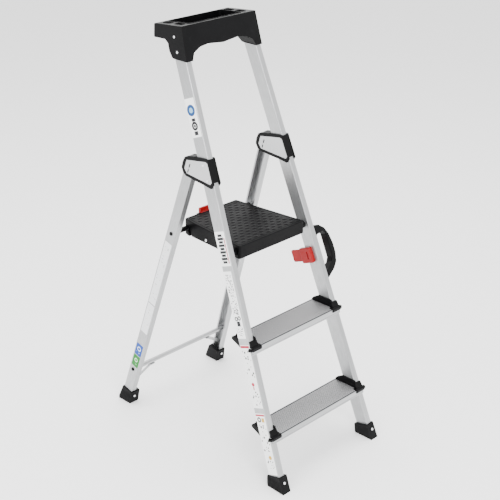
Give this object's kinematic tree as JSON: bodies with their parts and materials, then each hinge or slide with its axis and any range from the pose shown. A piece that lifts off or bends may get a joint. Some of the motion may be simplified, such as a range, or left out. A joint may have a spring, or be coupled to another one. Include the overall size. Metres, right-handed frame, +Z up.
{
  "type": "step ladder",
  "caption": "Folding step ladder with ribbed treads, hinged standing platform, tool tray on a guard frame, carry handle and folding rear legs.",
  "frame": {"origin": "centre of the bounding box at floor level, with the ladder open and standing", "axes": "+Z up, -Y towards the person who climbs, +X to the ladder's right, the side with the carry handle"},
  "size_m": [0.4742, 0.7715, 1.311],
  "materials": {
    "extruded_aluminium": "mill-finish aluminium extrusion with fine lengthwise drawing lines",
    "black_plastic": "moulded black plastic with a fine grain",
    "bright_plate": "brushed bright metal plate",
    "zinc_steel": "zinc-plated steel",
    "black_rubber": "matt black non-slip rubber-like plastic",
    "red_plastic": "moulded red plastic",
    "label_film": null
  },
  "bodies": {
    "front_frame": {"axle_spacers": "black_plastic", "carry_handle": "black_plastic", "catch_base": "red_plastic", "catch_pin": "zinc_steel", "foot_front_left": "black_rubber", "foot_front_right": "black_rubber", "foot_rivets_front": "zinc_steel", "handle_screws": "zinc_steel", "hinge_housing_left": "black_plastic", "hinge_housing_right": "black_plastic", "hinge_pin_left": "zinc_steel", "hinge_pin_right": "zinc_steel", "hinge_plate_inner_left": "bright_plate", "hinge_plate_inner_right": "bright_plate", "hinge_plate_outer_left": "bright_plate", "hinge_plate_outer_right": "bright_plate", "hinge_rivets": "zinc_steel", "platform_axle": "zinc_steel", "sticker_bars": "label_film", "sticker_foot": "label_film", "sticker_load": "label_film", "sticker_notes": "label_film", "sticker_rings": "label_film", "stile_left": "extruded_aluminium", "stile_right": "extruded_aluminium", "tool_tray": "black_plastic", "tray_rivets": "zinc_steel", "tread_cap_lower_left": "black_plastic", "tread_cap_lower_right": "black_plastic", "tread_cap_upper_left": "black_plastic", "tread_cap_upper_right": "black_plastic", "tread_lower": "extruded_aluminium", "tread_upper": "extruded_aluminium"},
    "rear_frame": {"cross_tube_lower": "extruded_aluminium", "cross_tube_sleeve": "black_plastic", "cross_tube_upper": "extruded_aluminium", "foot_rear_left": "black_rubber", "foot_rear_right": "black_rubber", "foot_rivets_rear": "zinc_steel", "hinge_bushes": "black_plastic", "leg_label_blue": "label_film", "leg_label_green": "label_film", "leg_label_strips": "label_film", "leg_left": "extruded_aluminium", "leg_right": "extruded_aluminium", "stay_left": "extruded_aluminium", "stay_right": "extruded_aluminium", "tube_plugs": "black_plastic"},
    "platform": {"platform_brace": "zinc_steel", "platform_deck": "black_plastic", "platform_hooks": "zinc_steel", "platform_rivets": "zinc_steel", "latch_pin": "zinc_steel", "latch_spring": "zinc_steel"},
    "latch": {"latch_lever": "red_plastic"},
    "catch": {"catch_tongue": "red_plastic"}
  },
  "joints": [
    {"name": "rear_fold", "type": "hinge", "parent": "front_frame", "child": "rear_frame", "pos_m": [-0.01497, 0.0677, 0.903], "axis": [-1, 0, 0], "range_deg": [0, 38]},
    {"name": "platform_fold", "type": "hinge", "parent": "front_frame", "child": "platform", "pos_m": [-0.01497, -0.0928, 0.676], "axis": [1, 0, 0], "range_deg": [0, 69]},
    {"name": "latch_press", "type": "hinge", "parent": "platform", "child": "latch", "pos_m": [-0.01497, 0.1612, 0.688], "axis": [1, 0, 0], "range_deg": [0, 12], "stiffness_Nm_per_rad": 0.5},
    {"name": "catch_flex", "type": "hinge", "parent": "front_frame", "child": "catch", "pos_m": [0.14536, -0.10042, 0.57045], "axis": [-0.051, 0.3614, 0.931], "range_deg": [0, 6], "stiffness_Nm_per_rad": 0.5}
  ],
  "couplings": [
    {"joint": "platform_fold", "follows": "rear_fold", "ratio": 1.81}
  ]
}
